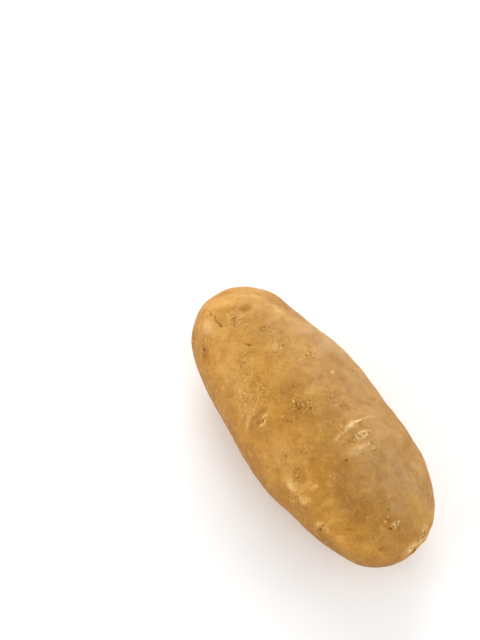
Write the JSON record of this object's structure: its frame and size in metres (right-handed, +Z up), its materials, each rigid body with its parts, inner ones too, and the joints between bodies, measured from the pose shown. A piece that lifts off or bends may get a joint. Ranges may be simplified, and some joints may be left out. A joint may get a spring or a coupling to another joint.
{
  "type": "potato",
  "caption": "Long, slightly knobbly tuber with shallow eyes and netted tan skin, lying on a small flat spot of its underside.",
  "frame": {"origin": "middle of the footprint, on the surface that the potato rests on", "axes": "+Z up from the resting surface; +X along the potato from the stem end to the bud end; +Y to its left side seen from the stem end"},
  "size_m": [0.1387, 0.0623, 0.0514],
  "materials": {
    "skin": "dry netted skin, satin"
  },
  "bodies": {
    "root": {"potato": "skin"}
  },
  "joints": []
}
